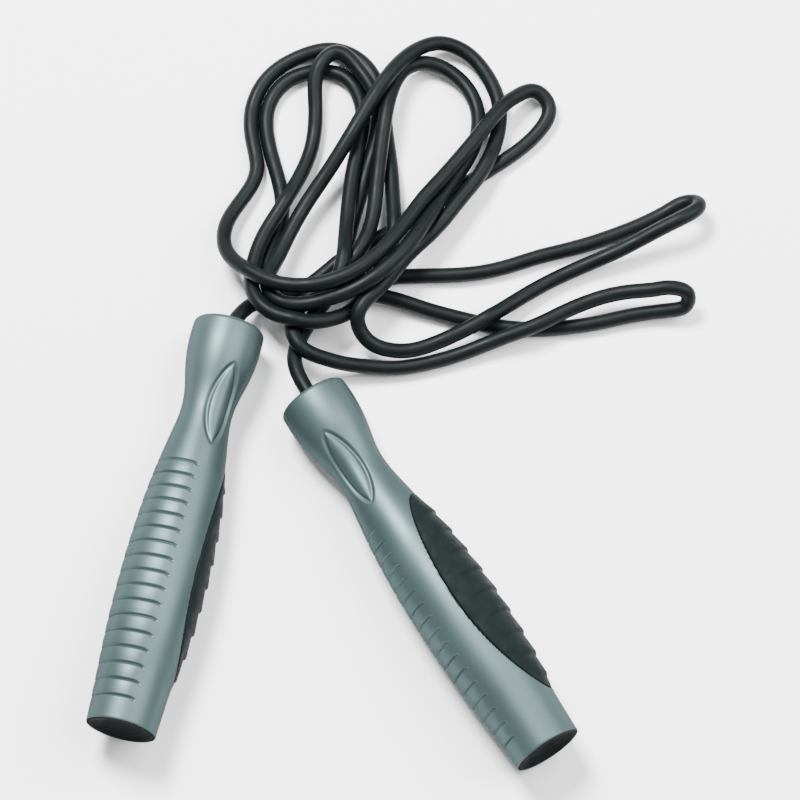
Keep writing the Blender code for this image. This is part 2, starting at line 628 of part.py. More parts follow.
def main():
    clear_scene()
    slots = {
        "shell": material("handle_silver_grey", (0.24, 0.33, 0.33), 0.38, 0.35),
        "pad": material("pad_black_rubber", (0.020, 0.028, 0.030), 0.75, 0.0),
        "cap": material("cap_black_plastic", (0.012, 0.014, 0.016), 0.45, 0.0),
        "rope": material("rope_black_rubber", (0.012, 0.016, 0.016), 0.5, 0.0),
        "steel": material("bearing_steel", (0.56, 0.57, 0.58), 0.2, 1.0),
        "spring": material("ring_spring_steel", (0.30, 0.30, 0.31), 0.35, 1.0),
        "brass": material("swivel_brass", (0.60, 0.46, 0.20), 0.3, 1.0),
        "washer": material("washer_white_nylon", (0.70, 0.70, 0.66), 0.5, 0.0),
        "steel_crimp": material("stopper_steel", (0.45, 0.46, 0.47), 0.35, 1.0),
    }
    meshes = handle_meshes()
    for side in HANDLES:
        make_handle(side, meshes, slots)
    make_rope(slots["rope"])


main()
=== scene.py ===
import json
import math

import bpy
import numpy as np
from mathutils import Matrix, Vector


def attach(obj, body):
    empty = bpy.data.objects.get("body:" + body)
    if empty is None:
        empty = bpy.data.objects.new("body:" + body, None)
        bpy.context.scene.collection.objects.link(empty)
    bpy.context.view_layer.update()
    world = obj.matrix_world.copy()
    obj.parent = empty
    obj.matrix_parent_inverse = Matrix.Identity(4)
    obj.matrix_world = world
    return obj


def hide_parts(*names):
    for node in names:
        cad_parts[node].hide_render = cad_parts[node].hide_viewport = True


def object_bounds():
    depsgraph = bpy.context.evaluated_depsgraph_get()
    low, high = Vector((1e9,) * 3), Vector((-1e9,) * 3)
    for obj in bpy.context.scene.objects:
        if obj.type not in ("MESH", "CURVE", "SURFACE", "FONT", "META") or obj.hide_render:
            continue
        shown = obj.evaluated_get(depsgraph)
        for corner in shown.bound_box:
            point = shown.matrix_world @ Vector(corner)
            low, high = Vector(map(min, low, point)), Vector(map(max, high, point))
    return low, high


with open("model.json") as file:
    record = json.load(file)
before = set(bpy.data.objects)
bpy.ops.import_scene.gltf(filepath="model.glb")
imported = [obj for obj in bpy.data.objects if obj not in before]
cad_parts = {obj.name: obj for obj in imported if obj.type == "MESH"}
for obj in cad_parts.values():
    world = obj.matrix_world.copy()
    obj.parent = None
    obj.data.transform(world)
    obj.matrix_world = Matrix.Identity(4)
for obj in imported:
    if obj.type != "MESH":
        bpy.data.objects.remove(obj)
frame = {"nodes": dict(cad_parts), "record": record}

MM = 0.001
SIDES = ("left", "right")
CAD_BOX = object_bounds()

# ---- the camera and the light ---------------------------------------------------------------------------
CAMERA_ELEVATION = 71.0
CAMERA_DISTANCE = 2.0
CAMERA_LENS = 231.2             # mm, on a 36 mm sensor
CAMERA_AIM = Vector((0.0258, 0.0624, 0.0))

KEY_POWER = 100.0               # watts
FILL_POWER = 60.0
WORLD_STRENGTH = 0.55

# ---- the rope, as in the CAD ----------------------------------------------------------------------------
ROPE_DIAMETER = 6.0 * MM
ORIGIN = (0.17, -2.18)          # mm: the model's origin, as the route below gives it
# The route over the surface from the left handle to the right one: x and y in mm, and how many rope
# thicknesses the strand lies above the surface there.
ROUTE = [
    # out of the left handle, under the knot and away to the right
    (-37, 90.5, 1.8), (-32.5, 96, 1.3), (-25, 100.5, 0.6), (-14, 103, 0.1), (-2, 105, 0), (10, 108, 0),
    (24, 110.5, 0), (38, 111, 0), (52, 111.5, 0), (66, 114, 0), (80, 118.5, 0), (95, 122.5, 0),
    (110, 127.5, 0), (120, 131.5, 0.1),
    # far hairpin and back over itself to the knot's near side
    (131, 137, 0), (137, 140, 0), (142, 139.5, 0.7), (142.5, 135.5, 2), (137.5, 131.5, 2.6),
    (126, 126, 1.5), (112, 119.5, 0.8), (98, 114, 0.2), (85, 108, 0), (73, 100.5, 0.2), (62, 92.5, 0.8),
    (51, 86, 1), (40, 81, 0.8), (30, 78, 0.5), (21, 78, 0.6), (14, 80.5, 0.9), (9.5, 87, 1.6),
    (12.5, 95, 2.8),
    # up the right bundle, round the tallest loop and down across everything to the left
    (19, 102, 2.9), (28, 114.5, 2.4), (38, 126, 1.9), (47.5, 138.5, 1.2), (56.5, 150.5, 1.1),
    (62, 161.5, 0.6), (65, 173, 0.3), (64.5, 185, 0.2), (60, 195.5, 0.2), (52, 204.5, 0.2),
    (42, 207.5, 0.5), (33, 203.5, 1.2), (24, 194, 2.2), (15.5, 180.5, 2.6), (6, 164, 2.3), (-3, 150, 1.4),
    (-11, 138, 0.9), (-18, 124.5, 0.9), (-22.5, 114, 1.2),
    # through the knot, round the inner loop on the right and back
    (-26, 103, 1.8), (-22, 95.5, 2.2), (-12, 93, 2.7), (0, 95.5, 2.9), (12, 101, 3.1), (23, 110, 3),
    (32.5, 122.5, 2.4), (41, 137.5, 1.7), (47.5, 148.5, 1.2), (53.5, 159.5, 0.8), (57, 173, 0.5),
    (54.5, 186, 0.2), (46, 196, 0.2), (36, 199.5, 0.4), (28, 196, 1), (23, 186.5, 1.6),
    (20, 172, 1.8), (18, 157, 1.5), (16.5, 142.5, 1.1), (14.5, 128.5, 1.3), (8.5, 115, 1.6),
    # down out of the knot and along the near side to the second hairpin, and back
    (-2.5, 104, 1.4), (-12, 95.5, 1.6), (-16, 86, 2), (-12.5, 77, 2.2), (-4, 73.5, 1.5), (4, 72.3, 0.8),
    (14, 72, 0.2), (24, 72, 0), (36, 74, 0), (50, 78, 0), (64, 83, 0.3), (78, 87.5, 1), (90, 93.5, 0.9),
    (102, 98.5, 0.9), (114, 101, 1.2), (125, 101.5, 1.7), (130, 102, 2.3), (135.5, 101.5, 2.5),
    (138.5, 99, 1.2), (136, 96, 0), (131, 95.5, 0), (117, 94, 0), (103, 91, 0), (89, 89, 0),
    (74, 88.5, 0), (60, 90.5, 0), (47, 93.5, 0), (34, 97, 0.2), (22, 100.5, 0.6),
    # up the middle, over the small upright loop and down the left
    (10, 104, 0.5), (4, 111.5, 0.1), (4.5, 123, 0), (9, 140, 0.3), (14, 158, 0.5), (17.5, 173, 0.9),
    (15.5, 186, 0.8), (9.5, 196, 0.8), (1, 203, 1.2), (-6, 197, 1.2), (-7.5, 181, 0.3), (-9, 164, 0),
    (-14, 150, 0.5), (-21, 136.5, 0.8), (-27.5, 124.5, 1), (-31, 113, 1.3),
    # round the knot's near side, up the middle and round the outermost loop on the left
    (-31.5, 102, 2.1), (-27.5, 93.5, 2.6), (-19, 88, 2.8), (-8, 86.5, 2.5), (3, 90, 2), (12, 98, 1.6),
    (18.5, 110, 1.4), (23, 122, 1.2), (23.5, 137, 0.8), (22.5, 154, 0.3), (20.5, 171, 0.4),
    (18.5, 186, 0.4), (12, 200, 0.1), (0, 206.5, 0), (-14, 203.5, 0), (-26, 195, 0), (-32.5, 181, 0),
    (-32, 167, 0), (-30.5, 154, 0), (-36, 142, 0.2), (-42, 130.5, 0.6),
    # over the top of the knot, out to the slanting loop at the upper right, and back beneath
    (-42, 118.5, 1.3), (-34, 108, 2.5), (-22, 100.5, 3.4), (-10, 98.5, 3.8), (1, 100.5, 3.9),
    (11, 105.5, 3.8), (21, 115, 3.4), (29, 126, 2.8), (36, 136.5, 2.2), (43.5, 146.5, 2), (50.5, 156, 2),
    (58, 166.5, 1.9), (65.5, 177.5, 1.6), (73, 185, 0.8), (80, 187.5, 0.2), (85, 181.5, 0), (81, 171.5, 0),
    (71, 162, 0), (58, 153, 0), (43, 143, 0), (29, 132.5, 0), (17, 124.5, 0.5), (7, 117, 1),
    (-3, 109, 0.6), (-12, 102.5, 0.8), (-19, 101, 1),
    # round the inner loop on the left, down through the knot and into the right handle
    (-25, 105, 0.9), (-26, 115, 0.4), (-22.5, 127, 0), (-20.5, 140, 0), (-23, 154, 0), (-26.5, 168, 0),
    (-26.5, 181, 0), (-20, 192, 0), (-8, 197, 0), (4, 194.5, 0), (10.5, 183, 0.1), (10.5, 168.5, 0.8),
    (7.5, 152, 1.1), (5.5, 134, 1.3), (4.5, 119, 1.8), (3, 107.5, 2.4), (-1.5, 98, 2.3), (-9, 88.5, 1.5),
    (-14.5, 78, 1.2), (-13.8, 67.5, 1.8),
]
HELD_END = 26.0                 # mm of each end that keep their height inside the handles
ROUTE_STEP = 2.5                # mm between the samples of the settled line
DRAWN_STEP = 0.9                # mm between the points of the drawn tube

# ---- the handle, in mm, as in the CAD -------------------------------------------------------------------
BEARING_MIDDLE = 157.7
HANDLE_LENGTH = 168.5
NOSE_START = 165.7              # the head's rounded rim starts here
NOSE_RADIUS = 14.0
NOSE_ROUND = 2.2
# distance from the foot and radius of the moulded outline up to the nose
OUTLINE = [(0, 13.6), (14, 14.2), (34, 15.4), (57, 16.0), (80, 15.5), (102, 13.8), (118, 11.6), (131, 10.1),
           (138, 10.7), (148, 12.9), (155, 13.9), (161.5, 14.18), (165.7, 14.0)]
# the same for the shell's inner wall, from the mouth back to the foot
INNER_WALL = [(167.97, 11.4), (168.15, 10.4), (168.32, 9.0), (168.42, 7.6), (168.4, 6.7), (168.2, 6.1),
              (167.7, 5.6), (166.9, 5.1), (166.1, 4.8), (164.0, 4.4), (160.0, 4.4),
              (160.0, 7.3), (122.0, 7.3), (104.0, 9.6), (82.0, 11.9), (57.0, 12.5), (30.0, 11.9), (9.0, 11.4),
              (2.0, 11.4), (2.0, 13.1), (0.2, 13.1), (0.0, 13.2), (0.0, 13.35), (0.12, 13.5)]

GROOVE_COUNT = 17
GROOVE_FIRST = 9.2
GROOVE_PITCH = 6.5
GROOVE_PITCH_LOSS = 0.0275
GROOVE_HALF_WIDTH = 0.72
GROOVE_DEPTH = 0.62
GROOVE_CENTRE = -90.0
GROOVE_HALF_SPAN = 73.0
GROOVE_HOOK = 0.55              # how far each end bends toward the foot
GROOVE_HOOK_RUN = 1.8
GROOVED_RADIUS = 14.5
GROOVE_SWELL = 0.12             # the bands between the grooves are faintly crowned

PAD_START = 18.5
PAD_END = 111.5
PAD_HALF_ANGLE = 66.0
PAD_CENTRE = 90.0
PAD_BOTTOM = 1.6                # under the moulded outline
PAD_LIP = 0.15                  # over the moulded outline, at the pad's edge
PAD_SEAT_DEPTH = 1.7
PAD_SEAT_WALL = 0.45            # over which the shell steps down to the seat
PAD_GAP = 0.25
PAD_BULGE = 1.2
PAD_EDGE_ROUND = 0.9
PAD_RIDGE_FIRST = 23.5
PAD_RIDGE_PITCH = 9.7
PAD_RIDGE_HEIGHT = 0.85
PAD_RIDGE_BOW = 2.2             # how far each ridge's ends bend toward the foot

RECESS_CENTRE = 133.0
RECESS_HALF_LENGTH = 18.0
RECESS_HALF_WIDTH = 6.3
RECESS_FULLNESS = 0.65
RECESS_CHANNEL = 1.6
RECESS_DEPTH = 0.9
RECESS_CROWN = 0.5
RECESS_FADE = 4.5               # the channel dies out at the tips, where the leaf is narrower than this

CAP_RADIUS = 12.95
CAP_DISH = 2.4
CAP_BACK = 4.6
NOTCH_HALF_ANGLE = 6.0
NOTCH_DEPTH = 0.8


# ---- curves ---------------------------------------------------------------------------------------------
def cubic(knots, values):
    """Second derivatives of the natural cubic spline through values at the knots."""
    count = len(knots)
    gaps = np.diff(knots)
    left = np.eye(count)
    right = np.zeros_like(values)
    for i in range(1, count - 1):
        left[i, i - 1:i + 2] = gaps[i - 1], 2 * (gaps[i - 1] + gaps[i]), gaps[i]
        right[i] = 6 * ((values[i + 1] - values[i]) / gaps[i] - (values[i] - values[i - 1]) / gaps[i - 1])
    return np.linalg.solve(left, right)


def read_cubic(knots, values, bends, at):
    """The spline at an array of parameters."""
    at = np.asarray(at, float)
    i = np.clip(np.searchsorted(knots, at) - 1, 0, len(knots) - 2)
    gap = (knots[i + 1] - knots[i]).reshape(at.shape + (1,) * (values.ndim - 1))
    u = (at - knots[i]).reshape(gap.shape)
    slope = (values[i + 1] - values[i]) / gap - gap * (2 * bends[i] + bends[i + 1]) / 6
    return values[i] + slope * u + bends[i] / 2 * u * u + (bends[i + 1] - bends[i]) / (6 * gap) * u ** 3


def smooth_step(share):
    share = np.clip(share, 0.0, 1.0)
    return share * share * (3.0 - 2.0 * share)


# ---- where the handles lie ------------------------------------------------------------------------------
def handle_matrix(side):
    """The handle's own frame, from its spin joint and the mount on its foot's rim, in metres."""
    record = frame["record"]
    spin = next(j for j in record["behaviour"]["joints"] if j["name"] == side + "_handle_spin")
    rim = next(m for m in record["mounts"] if m["name"] == side + "_foot_rim")
    axis = Vector(spin["axis"]).normalized()
    foot = Vector(spin["pos_m"]) - axis * BEARING_MIDDLE * MM
    to_rim = Vector(rim["pos_m"]) - foot
    recess = -(to_rim - axis * to_rim.dot(axis)).normalized()
    matrix = Matrix((recess, axis.cross(recess), axis)).transposed().to_4x4()
    matrix.translation = foot
    return matrix


# ---- meshes ---------------------------------------------------------------------------------------------
def grid_mesh(name, points, rows_closed, columns_closed):
    """Quads over an array of rows x columns x 3 points in mm, each way open or closed into a ring."""
    rows, columns = points.shape[:2]
    number = np.arange(rows * columns).reshape(rows, columns)
    here = number if rows_closed else number[:-1]
    after = np.roll(number, -1, axis=0) if rows_closed else number[1:]
    right = np.roll(here, -1, axis=1)
    after_right = np.roll(after, -1, axis=1)
    faces = np.stack([here, right, after_right, after], axis=-1)
    if not columns_closed:
        faces = faces[:, :-1]
    return faces_mesh(name, points.reshape(-1, 3), faces.reshape(-1, 4))


def faces_mesh(name, points, faces):
    mesh = bpy.data.meshes.new(name)
    mesh.from_pydata((points * MM).tolist(), [], faces.tolist())
    mesh.validate()
    mesh.update()
    mesh.shade_smooth()
    mesh.set_sharp_from_angle(angle=math.radians(50.0))
    return mesh


def round_points(radius, angle, along):
    """Points in mm from radius, angle in degrees and distance along the axis."""
    turn = np.radians(angle)
    radius, turn, along = np.broadcast_arrays(radius, turn, along)
    return np.stack([radius * np.cos(turn), radius * np.sin(turn), along], axis=-1)


def place_piece(name, mesh, side, material, slot, *nodes):
    mesh.transform(handle_matrix(side))
    piece = bpy.data.objects.new(name, mesh)
    bpy.context.collection.objects.link(piece)
    piece.data.materials.append(material)
    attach(piece, side + "_handle")
    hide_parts(*nodes)
    return piece


# ---- the handle's surface -------------------------------------------------------------------------------
OUTLINE_AT = np.array([t for t, r in OUTLINE], float)
OUTLINE_RADIUS = np.array([r for t, r in OUTLINE], float)
OUTLINE_BENDS = cubic(OUTLINE_AT, OUTLINE_RADIUS)


def outline_radius(along):
    body = read_cubic(OUTLINE_AT, OUTLINE_RADIUS, OUTLINE_BENDS, np.minimum(along, NOSE_START))
    drop = np.clip((along - NOSE_START) / NOSE_ROUND, 0.0, 1.0)
    nose = NOSE_RADIUS - NOSE_ROUND + NOSE_ROUND * np.sqrt(1.0 - drop * drop)
    return np.where(along <= NOSE_START, body, nose)


def turn_from(angle, centre):
    return (angle - centre + 180.0) % 360.0 - 180.0


def leaf_width(along, start, end, foot_fullness, head_fullness):
    """0 at a leaf's two tips and beyond them, and 1 at its middle."""
    place = (2.0 * along - start - end) / (end - start)
    inside = np.maximum(1.0 - place * place, 0.0)
    return inside ** np.where(place < 0.0, foot_fullness, head_fullness)


def pad_half_width(along):
    """Half the pad's width in mm, over the surface."""
    half_angle = PAD_HALF_ANGLE * leaf_width(along, PAD_START, PAD_END, 0.55, 0.36)
    return np.radians(half_angle) * outline_radius(along)


def groove_cut(along, angle):
    """Slits round the back of the handle, with round ends that hook toward the foot."""
    across = np.abs(np.radians(turn_from(angle, GROOVE_CENTRE))) * GROOVED_RADIUS
    half = math.radians(GROOVE_HALF_SPAN) * GROOVED_RADIUS
    hook = GROOVE_HOOK * np.clip((across - half + GROOVE_HOOK_RUN) / GROOVE_HOOK_RUN, 0.0, 1.0) ** 2
    beyond = np.maximum(across - half, 0.0)
    nearest = np.full(np.broadcast(along, angle).shape, 99.0)
    for number in range(GROOVE_COUNT):
        place = GROOVE_FIRST + number * GROOVE_PITCH - number * number * GROOVE_PITCH_LOSS
        nearest = np.minimum(nearest, np.hypot(along - place + hook, beyond))
    inside = smooth_step((half - across) / 3.0)
    last = GROOVE_FIRST + (GROOVE_COUNT - 1) * (GROOVE_PITCH - (GROOVE_COUNT - 1) * GROOVE_PITCH_LOSS)
    banded = smooth_step((along - GROOVE_FIRST + 1.0) / 2.0) * smooth_step((last + 1.0 - along) / 2.0)
    swell = GROOVE_SWELL * smooth_step(nearest / (0.45 * GROOVE_PITCH)) * inside * banded
    return GROOVE_DEPTH * smooth_step(1.0 - nearest / GROOVE_HALF_WIDTH) - swell


def recess_cut(along, angle):
    """A channel round a raised petal, under the thumb."""
    start, end = RECESS_CENTRE - RECESS_HALF_LENGTH, RECESS_CENTRE + RECESS_HALF_LENGTH
    half = RECESS_HALF_WIDTH * leaf_width(along, start, end, RECESS_FULLNESS, RECESS_FULLNESS)
    across = np.abs(np.radians(turn_from(angle, 0.0))) * outline_radius(along)
    from_channel = np.abs(half - across - RECESS_CHANNEL) / RECESS_CHANNEL
    channel = RECESS_DEPTH * np.cos(0.5 * np.pi * np.clip(from_channel, 0.0, 1.0)) ** 2
    petal = np.maximum(half - 2.0 * RECESS_CHANNEL, 0.1)
    crown = RECESS_CROWN * np.maximum(1.0 - (across / petal) ** 2, 0.0) * smooth_step(petal / 3.0)
    return channel * smooth_step(half / RECESS_FADE) - crown


def seat_cut(along, angle):
    """The step down to the grip pad's seat, just inside the pad's outline."""
    across = np.abs(np.radians(turn_from(angle, PAD_CENTRE))) * outline_radius(along)
    inward = pad_half_width(along) - across
    return PAD_SEAT_DEPTH * smooth_step(inward / PAD_SEAT_WALL)


def shell_mesh():
    columns = np.linspace(0.0, 360.0, 264, endpoint=False)[None, :]
    nose = NOSE_START + NOSE_ROUND * np.sin(np.radians(np.linspace(6.0, 86.0, 12)))
    rings = np.concatenate([[0.4], np.arange(0.8, NOSE_START, 0.29), [NOSE_START], nose])[:, None]
    outer_radius = (outline_radius(rings) - groove_cut(rings, columns) - recess_cut(rings, columns)
                    - seat_cut(rings, columns))
    outer = round_points(outer_radius, columns, rings)
    wall = np.array(INNER_WALL, float)
    inner = round_points(wall[:, 1:2], columns, wall[:, :1])
    return grid_mesh("handle_shell_look", np.concatenate([outer, inner]), True, True)


# ---- the grip pad ---------------------------------------------------------------------------------------
def pad_ridge(along, place):
    """Ridges that step up on their foot side, slope down toward the head and die out at the pad's edges."""
    bowed = along + PAD_RIDGE_BOW * place * place
    phase = ((bowed - PAD_RIDGE_FIRST) / PAD_RIDGE_PITCH) % 1.0
    tooth = np.where(phase < 0.14, smooth_step(phase / 0.14), (1.0 - phase) / 0.86)
    fade = (1.0 - smooth_step((np.abs(place) - 0.3) / 0.5)) * smooth_step((bowed - PAD_RIDGE_FIRST) / 2.0)
    return PAD_RIDGE_HEIGHT * tooth * fade * smooth_step((PAD_END - along) / 10.0)


def pad_mesh():
    rows, columns = 420, 64
    tip_to_tip = 0.5 - 0.5 * np.cos(np.linspace(0.0, np.pi, rows))
    share = 0.25 * tip_to_tip + 0.75 * np.linspace(0.0, 1.0, rows)
    along = (PAD_START + PAD_GAP + (PAD_END - PAD_START - 2.0 * PAD_GAP) * share)[:, None]
    place = np.sin(np.linspace(-0.5 * np.pi, 0.5 * np.pi, columns))[None, :]
    half = np.maximum(pad_half_width(along) - PAD_GAP, 0.02)
    angle = PAD_CENTRE + np.degrees(half * place / outline_radius(along))
    from_edge = np.clip(half * (1.0 - np.abs(place)) / PAD_EDGE_ROUND, 0.0, 1.0)
    edge_drop = PAD_EDGE_ROUND * (1.0 - np.sqrt(np.maximum(1.0 - (1.0 - from_edge) ** 2, 0.0)))
    swell = leaf_width(along, PAD_START, PAD_END, 0.8, 0.8) * (1.0 - np.abs(place) ** 3)
    top_radius = outline_radius(along) + PAD_LIP + PAD_BULGE * swell + pad_ridge(along, place) - edge_drop
    top = round_points(top_radius, angle, along)
    bottom = round_points(outline_radius(along) - PAD_BOTTOM + 0.0 * place, angle, along)
    number = np.arange(rows * columns).reshape(rows, columns)
    under = number + rows * columns
    upper = np.stack([number[:-1, :-1], number[:-1, 1:], number[1:, 1:], number[1:, :-1]], -1).reshape(-1, 4)
    lower = np.stack([under[:-1, :-1], under[1:, :-1], under[1:, 1:], under[:-1, 1:]], -1).reshape(-1, 4)
    edge = np.concatenate([number[0], number[1:, -1], number[-1, -2::-1], number[-2:0:-1, 0]])
    following = np.roll(edge, -1)
    offset = rows * columns
    skirt = np.stack([edge, edge + offset, following + offset, following], -1)
    points = np.concatenate([top.reshape(-1, 3), bottom.reshape(-1, 3)])
    return faces_mesh("grip_pad_look", points, np.concatenate([upper, lower, skirt]))


# ---- the end cap ----------------------------------------------------------------------------------------
def cap_mesh():
    """A dished disc with a rounded rim, a shallow moulded ring and a pry notch beside the thumb recess."""
    columns = np.linspace(0.0, 360.0, 144, endpoint=False)[None, :]
    radius = np.concatenate([np.linspace(0.05, 10.9, 40), 10.9 + 1.5 * np.sin(np.linspace(0.1, 1.5, 10))])
    dish = CAP_DISH * np.cos(np.minimum(radius / 11.6, 1.0) * 0.5 * np.pi) ** 0.8
    ring = 0.12 * np.exp(-((radius - 7.4) / 0.35) ** 2)
    rim = [(12.55, 0.02), (12.75, 0.14), (12.88, 0.32), (CAP_RADIUS, 0.6), (CAP_RADIUS, 1.7), (11.2, 1.7),
           (11.2, CAP_BACK), (0.05, CAP_BACK)]
    radius = np.concatenate([radius, [r for r, t in rim]])[:, None]
    along = np.concatenate([dish + ring, [t for r, t in rim]])[:, None]
    turned = np.abs(turn_from(columns, 0.0)) / NOTCH_HALF_ANGLE
    near_front = (along < 1.0) * smooth_step((radius - 10.7) / 0.5)
    along = along + NOTCH_DEPTH * smooth_step(3.0 * (1.0 - turned)) * near_front
    return grid_mesh("end_cap_look", round_points(radius, columns, along), True, True)


# ---- the rope's line ------------------------------------------------------------------------------------
def route_points():
    """The whole route in mm, with the straight ends inside the two handles."""
    thickness = ROPE_DIAMETER / MM
    lying = [(x - ORIGIN[0], y - ORIGIN[1], (0.5 + level) * thickness) for x, y, level in ROUTE]
    inside = []
    for side in SIDES:
        matrix = handle_matrix(side)
        inside.append([tuple(matrix @ Vector((0.0, 0.0, t * MM)) / MM) for t in (144.0, 152.0, 160.0, 165.0)])
    return np.array(inside[0] + lying + inside[1][::-1])


def even_steps(line, step):
    run = np.concatenate([[0.0], np.cumsum(np.linalg.norm(np.diff(line, axis=0), axis=1))])
    marks = np.linspace(0.0, run[-1], int(round(run[-1] / step)) + 1)
    return np.stack([np.interp(marks, run, line[:, k]) for k in range(3)], axis=1)


def smooth_line(points, step):
    knots = np.concatenate([[0.0], np.cumsum(np.linalg.norm(np.diff(points, axis=0), axis=1) ** 0.75)])
    bends = cubic(knots, points)
    fine = []
    for i in range(len(points) - 1):
        count = max(2, int(np.ceil(np.linalg.norm(points[i + 1] - points[i]) / step * 4)))
        marks = np.linspace(knots[i], knots[i + 1], count, endpoint=False)
        fine.append(read_cubic(knots, points, bends, marks))
    fine.append(points[-1:])
    return even_steps(np.concatenate(fine), step)


def settle(line, step):
    """Rest the strands on the surface and on each other, keeping which one lies on top."""
    thickness = ROPE_DIAMETER / MM
    apart = thickness + 0.1
    held_ends = int(HELD_END / step)
    place = line.copy()
    wanted = line[:, 2].copy()
    count = len(line)
    flat = np.linalg.norm(line[:, None, :2] - line[None, :, :2], axis=2)
    a, b = np.nonzero(np.triu(flat < thickness + 2.0, k=int(3 * thickness / step)))
    a_above = wanted[a] >= wanted[b]
    upper = np.where(a_above, a, b)
    lower = np.where(a_above, b, a)
    free = np.ones(count, bool)
    free[:held_ends] = False
    free[-held_ends:] = False
    for sweep in range(400):
        bend = np.zeros(count)
        bend[1:-1] = place[:-2, 2] - 2 * place[1:-1, 2] + place[2:, 2]
        place[:, 2] += np.where(free, 0.4 * bend + 0.02 * (wanted - place[:, 2]), 0.0)
        moved = place[:, :2] - line[:, :2]
        moved[1:-1] += 0.35 * (moved[:-2] - 2 * moved[1:-1] + moved[2:])
        place[:, :2] = np.where(free[:, None], line[:, :2] + moved, place[:, :2])
        for again in range(2):
            beside = np.linalg.norm(place[upper, :2] - place[lower, :2], axis=1)
            rise = place[upper, 2] - place[lower, 2]
            lack = np.where(beside < apart, np.sqrt(np.maximum(apart ** 2 - beside ** 2, 0.0)) - rise, 0.0)
            side_by_side = (beside > 0.8 * thickness) & (np.abs(rise) < 0.55 * thickness)
            share = np.where(side_by_side, 0.0, np.maximum(lack, 0.0) * 0.5)
            lift = np.zeros(count)
            press = np.zeros(count)
            np.maximum.at(lift, upper, share)
            np.maximum.at(press, lower, share)
            place[:, 2] += np.where(free, lift - press, 0.0)
            gap = place[upper] - place[lower]
            distance = np.linalg.norm(gap, axis=1)
            push = np.where(side_by_side, np.maximum(apart - distance, 0.0) * 0.5, 0.0)
            move = gap[:, :2] / np.maximum(beside, 1e-6)[:, None] * push[:, None]
            total = np.zeros((count, 2))
            hits = np.zeros(count)
            np.add.at(total, upper, move)
            np.add.at(total, lower, -move)
            np.add.at(hits, upper, push > 0)
            np.add.at(hits, lower, push > 0)
            place[:, :2] += np.where(free[:, None], total / np.maximum(hits, 1)[:, None], 0.0)
            place[:, 2] = np.where(free, np.maximum(place[:, 2], thickness / 2), place[:, 2])
    return place


def make_rope(material):
    settled = settle(smooth_line(route_points(), ROUTE_STEP), ROUTE_STEP)
    line = smooth_line(settled, DRAWN_STEP) * MM
    curve = bpy.data.curves.new("rope_look", "CURVE")
    curve.dimensions = "3D"
    curve.twist_mode = "MINIMUM"
    spline = curve.splines.new("POLY")
    spline.points.add(len(line) - 1)
    for point, place in zip(spline.points, line):
        point.co = (*place, 1.0)
    curve.bevel_depth = ROPE_DIAMETER / 2
    curve.bevel_resolution = 6
    curve.use_fill_caps = True
    curve.materials.append(material)
    rope = bpy.data.objects.new("rope_look", curve)
    bpy.context.collection.objects.link(rope)
    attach(rope, "rope_and_swivels")
    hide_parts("rope")
    mouth = handle_matrix("left") @ Vector((0.0, 0.0, HANDLE_LENGTH * MM))
    return rope


# ---- materials ------------------------------------------------------------------------------------------
def new_material(name, colour, roughness, metallic):
    """A Principled material with its constants on the shader's own sockets, and its nodes and links."""
    made = bpy.data.materials.new(name)
    made.use_nodes = True
    shader = made.node_tree.nodes["Principled BSDF"]
    shader.inputs["Base Color"].default_value = (*colour, 1.0)
    shader.inputs["Roughness"].default_value = roughness
    shader.inputs["Metallic"].default_value = metallic
    return made, shader


def noise(tree, scale, detail, stretch=(1.0, 1.0, 1.0)):
    """Noise in the object's own coordinates, in metres, stretched along its axes."""
    place = tree.nodes.new("ShaderNodeTexCoord")
    mapping = tree.nodes.new("ShaderNodeMapping")
    mapping.inputs["Scale"].default_value = stretch
    texture = tree.nodes.new("ShaderNodeTexNoise")
    texture.inputs["Scale"].default_value = scale
    texture.inputs["Detail"].default_value = detail
    tree.links.new(place.outputs["Object"], mapping.inputs["Vector"])
    tree.links.new(mapping.outputs["Vector"], texture.inputs["Vector"])
    return texture.outputs["Fac"]


def vary(tree, value, low, high, socket):
    """Drives a socket between two values with a noise's middle range."""
    spread = tree.nodes.new("ShaderNodeMapRange")
    spread.inputs["From Min"].default_value = 0.35
    spread.inputs["From Max"].default_value = 0.65
    spread.inputs["To Min"].default_value = low
    spread.inputs["To Max"].default_value = high
    tree.links.new(value, spread.inputs["Value"])
    tree.links.new(spread.outputs["Result"], socket)


def mottle(made, value, dark, light):
    """Drives a material's base colour between two colours with a noise's middle range."""
    tree = made.node_tree
    ramp = tree.nodes.new("ShaderNodeValToRGB")
    ramp.color_ramp.elements[0].position = 0.35
    ramp.color_ramp.elements[0].color = (*dark, 1.0)
    ramp.color_ramp.elements[1].position = 0.65
    ramp.color_ramp.elements[1].color = (*light, 1.0)
    tree.links.new(value, ramp.inputs["Fac"])
    tree.links.new(ramp.outputs["Color"], tree.nodes["Principled BSDF"].inputs["Base Color"])


def raise_grain(tree, shader, value, strength, distance, under=None):
    """Adds a fine bump, over another one if there is one, and returns it."""
    bump = tree.nodes.new("ShaderNodeBump")
    bump.inputs["Strength"].default_value = strength
    bump.inputs["Distance"].default_value = distance
    tree.links.new(value, bump.inputs["Height"])
    if under is not None:
        tree.links.new(under.outputs["Normal"], bump.inputs["Normal"])
    tree.links.new(bump.outputs["Normal"], shader.inputs["Normal"])
    return bump


